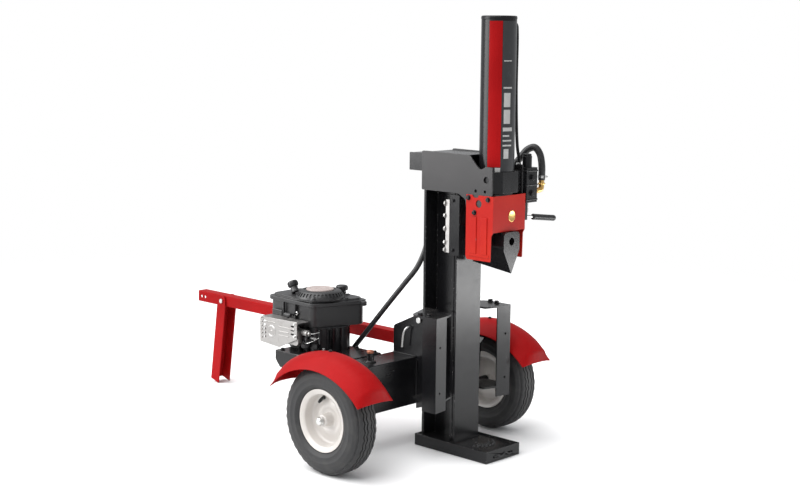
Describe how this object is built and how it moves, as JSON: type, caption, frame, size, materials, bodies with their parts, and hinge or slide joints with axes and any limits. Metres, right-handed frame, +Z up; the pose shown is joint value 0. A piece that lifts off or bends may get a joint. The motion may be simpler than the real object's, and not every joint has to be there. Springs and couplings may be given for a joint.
{
  "type": "towable hydraulic log splitter",
  "caption": "Towable log splitter with a tilting upright beam, hydraulic cylinder and wedge over a foot plate, engine, oil tank, wheels, fenders, drawbar and jack stand.",
  "frame": {"origin": "centre of the bounding box, on the ground", "axes": "+X towards the wedge and foot plate, away from the drawbar; +Y along the axle towards the wheel beside the control valve; +Z up"},
  "size_m": [1.875, 1.096, 1.688],
  "materials": {
    "black_paint": "semi-gloss enamel",
    "black_trim": "satin enamel",
    "grey_sheen": "semi-gloss enamel, scuffed",
    "red_paint": "gloss enamel",
    "guard_red": "gloss enamel",
    "bare_steel": "worn bright",
    "plated_steel": "zinc plated",
    "muffler_steel": "satin",
    "rim_paint": "semi-gloss enamel",
    "tyre_rubber": "matte",
    "hose_rubber": "satin",
    "engine_cast": "black paint",
    "shroud_plastic": "fine texture",
    "small_plastic": "smooth",
    "disc_paint": "satin",
    "brass": "bright",
    "cap_copper": "dull",
    "iron_grey": "rough"
  },
  "bodies": {
    "frame": {"reservoir_tank": "black_paint", "filler_neck": "black_paint", "axle_near": "black_paint", "axle_far": "black_paint", "axle_nut_near": "plated_steel", "axle_nut_far": "plated_steel", "fender_near": "red_paint", "fender_far": "red_paint", "ear_plate_near": "black_paint", "ear_plate_far": "black_paint", "pivot_bolt": "plated_steel", "tongue": "red_paint", "jack_bolt": "plated_steel", "engine_platform": "black_paint", "return_fitting": "brass", "crankcase": "engine_cast", "engine_shroud": "shroud_plastic", "recoil_housing": "shroud_plastic", "recoil_disc": "disc_paint", "muffler": "muffler_steel", "muffler_guard": "muffler_steel", "air_cleaner": "shroud_plastic", "hydraulic_pump": "iron_grey", "return_hose": "hose_rubber", "pressure_hose": "hose_rubber"},
    "wheel_near": {"tyre_near": "tyre_rubber", "rim_near": "rim_paint"},
    "wheel_far": {"tyre_far": "tyre_rubber", "rim_far": "rim_paint"},
    "beam": {"beam": "black_paint", "foot_plate": "black_paint", "bracket_plate_near": "grey_sheen", "bracket_plate_far": "grey_sheen", "bracket_top_plate": "black_paint", "transport_rest": "grey_sheen", "cylinder_barrel": "black_paint", "cylinder_cap": "black_trim", "cylinder_gland": "bare_steel", "cylinder_collar": "black_trim", "control_valve": "black_trim", "brass_elbow": "brass", "hydraulic_tube": "black_trim", "wedge_guard": "guard_red", "cradle_near": "grey_sheen", "cradle_far": "grey_sheen"},
    "wedge": {"wedge_carriage": "black_paint", "gib_plate_near": "bare_steel", "gib_plate_far": "bare_steel", "wedge_blade": "black_paint", "piston_rod": "bare_steel"},
    "lever": {"lever_rod": "plated_steel", "lever_grip": "small_plastic"},
    "spool": {"valve_spool": "bare_steel"},
    "jack": {"jack_stand": "red_paint"},
    "latch": {"lock_rod": "plated_steel"},
    "fuel_cap": {"fuel_cap": "small_plastic"},
    "oil_fill": {"oil_fill_cap": "small_plastic"},
    "breather": {"filler_breather": "cap_copper"},
    "starter": {"starter_grip": "small_plastic"},
    "coupling": {"drive_coupling": "plated_steel"}
  },
  "joints": [
    {"name": "wheel_near_spin", "type": "hinge", "parent": "frame", "child": "wheel_near", "pos_m": [0.5755, -0.457, 0.206], "axis": [0, 1, 0], "continuous": true},
    {"name": "wheel_far_spin", "type": "hinge", "parent": "frame", "child": "wheel_far", "pos_m": [0.5755, 0.457, 0.206], "axis": [0, 1, 0], "continuous": true},
    {"name": "beam_tilt", "type": "hinge", "parent": "frame", "child": "beam", "pos_m": [0.5455, 0.133, 0.501], "axis": [0, -1, 0], "range_deg": [0, 90], "deforming": ["return_hose", "pressure_hose"]},
    {"name": "wedge_stroke", "type": "slide", "parent": "beam", "child": "wedge", "axis": [0, 0, -1], "range_m": [0, 0.609]},
    {"name": "lever_swing", "type": "hinge", "parent": "beam", "child": "lever", "pos_m": [0.8995, 0.24, 0.932], "axis": [1, 0, 0], "range_deg": [-20, 20]},
    {"name": "spool_slide", "type": "slide", "parent": "beam", "child": "spool", "axis": [0, 0, 1], "range_m": [-0.008, 0.008]},
    {"name": "jack_fold", "type": "hinge", "parent": "frame", "child": "jack", "pos_m": [-0.7545, 0.133, 0.393], "axis": [0, -1, 0], "range_deg": [0, 98]},
    {"name": "latch_pull", "type": "slide", "parent": "frame", "child": "latch", "axis": [0, -1, 0], "range_m": [-0.011, 0.016]},
    {"name": "fuel_cap_lift", "type": "slide", "parent": "frame", "child": "fuel_cap", "axis": [0, 0, 1], "range_m": [0, 0.06]},
    {"name": "oil_fill_lift", "type": "slide", "parent": "frame", "child": "oil_fill", "axis": [-0.4794, 0, 0.8776], "range_m": [0, 0.08]},
    {"name": "breather_lift", "type": "slide", "parent": "frame", "child": "breather", "axis": [0, 0, 1], "range_m": [0, 0.06]},
    {"name": "starter_pull", "type": "slide", "parent": "frame", "child": "starter", "axis": [0, -1, 0], "range_m": [0, 0.6], "stiffness_N_per_m": 6},
    {"name": "drive_spin", "type": "hinge", "parent": "frame", "child": "coupling", "pos_m": [0.1435, -0.112, 0.365], "axis": [0, 0, 1], "continuous": true}
  ],
  "couplings": [
    {"joint": "spool_slide", "follows": "lever_swing", "m_per_rad": 0.022}
  ]
}
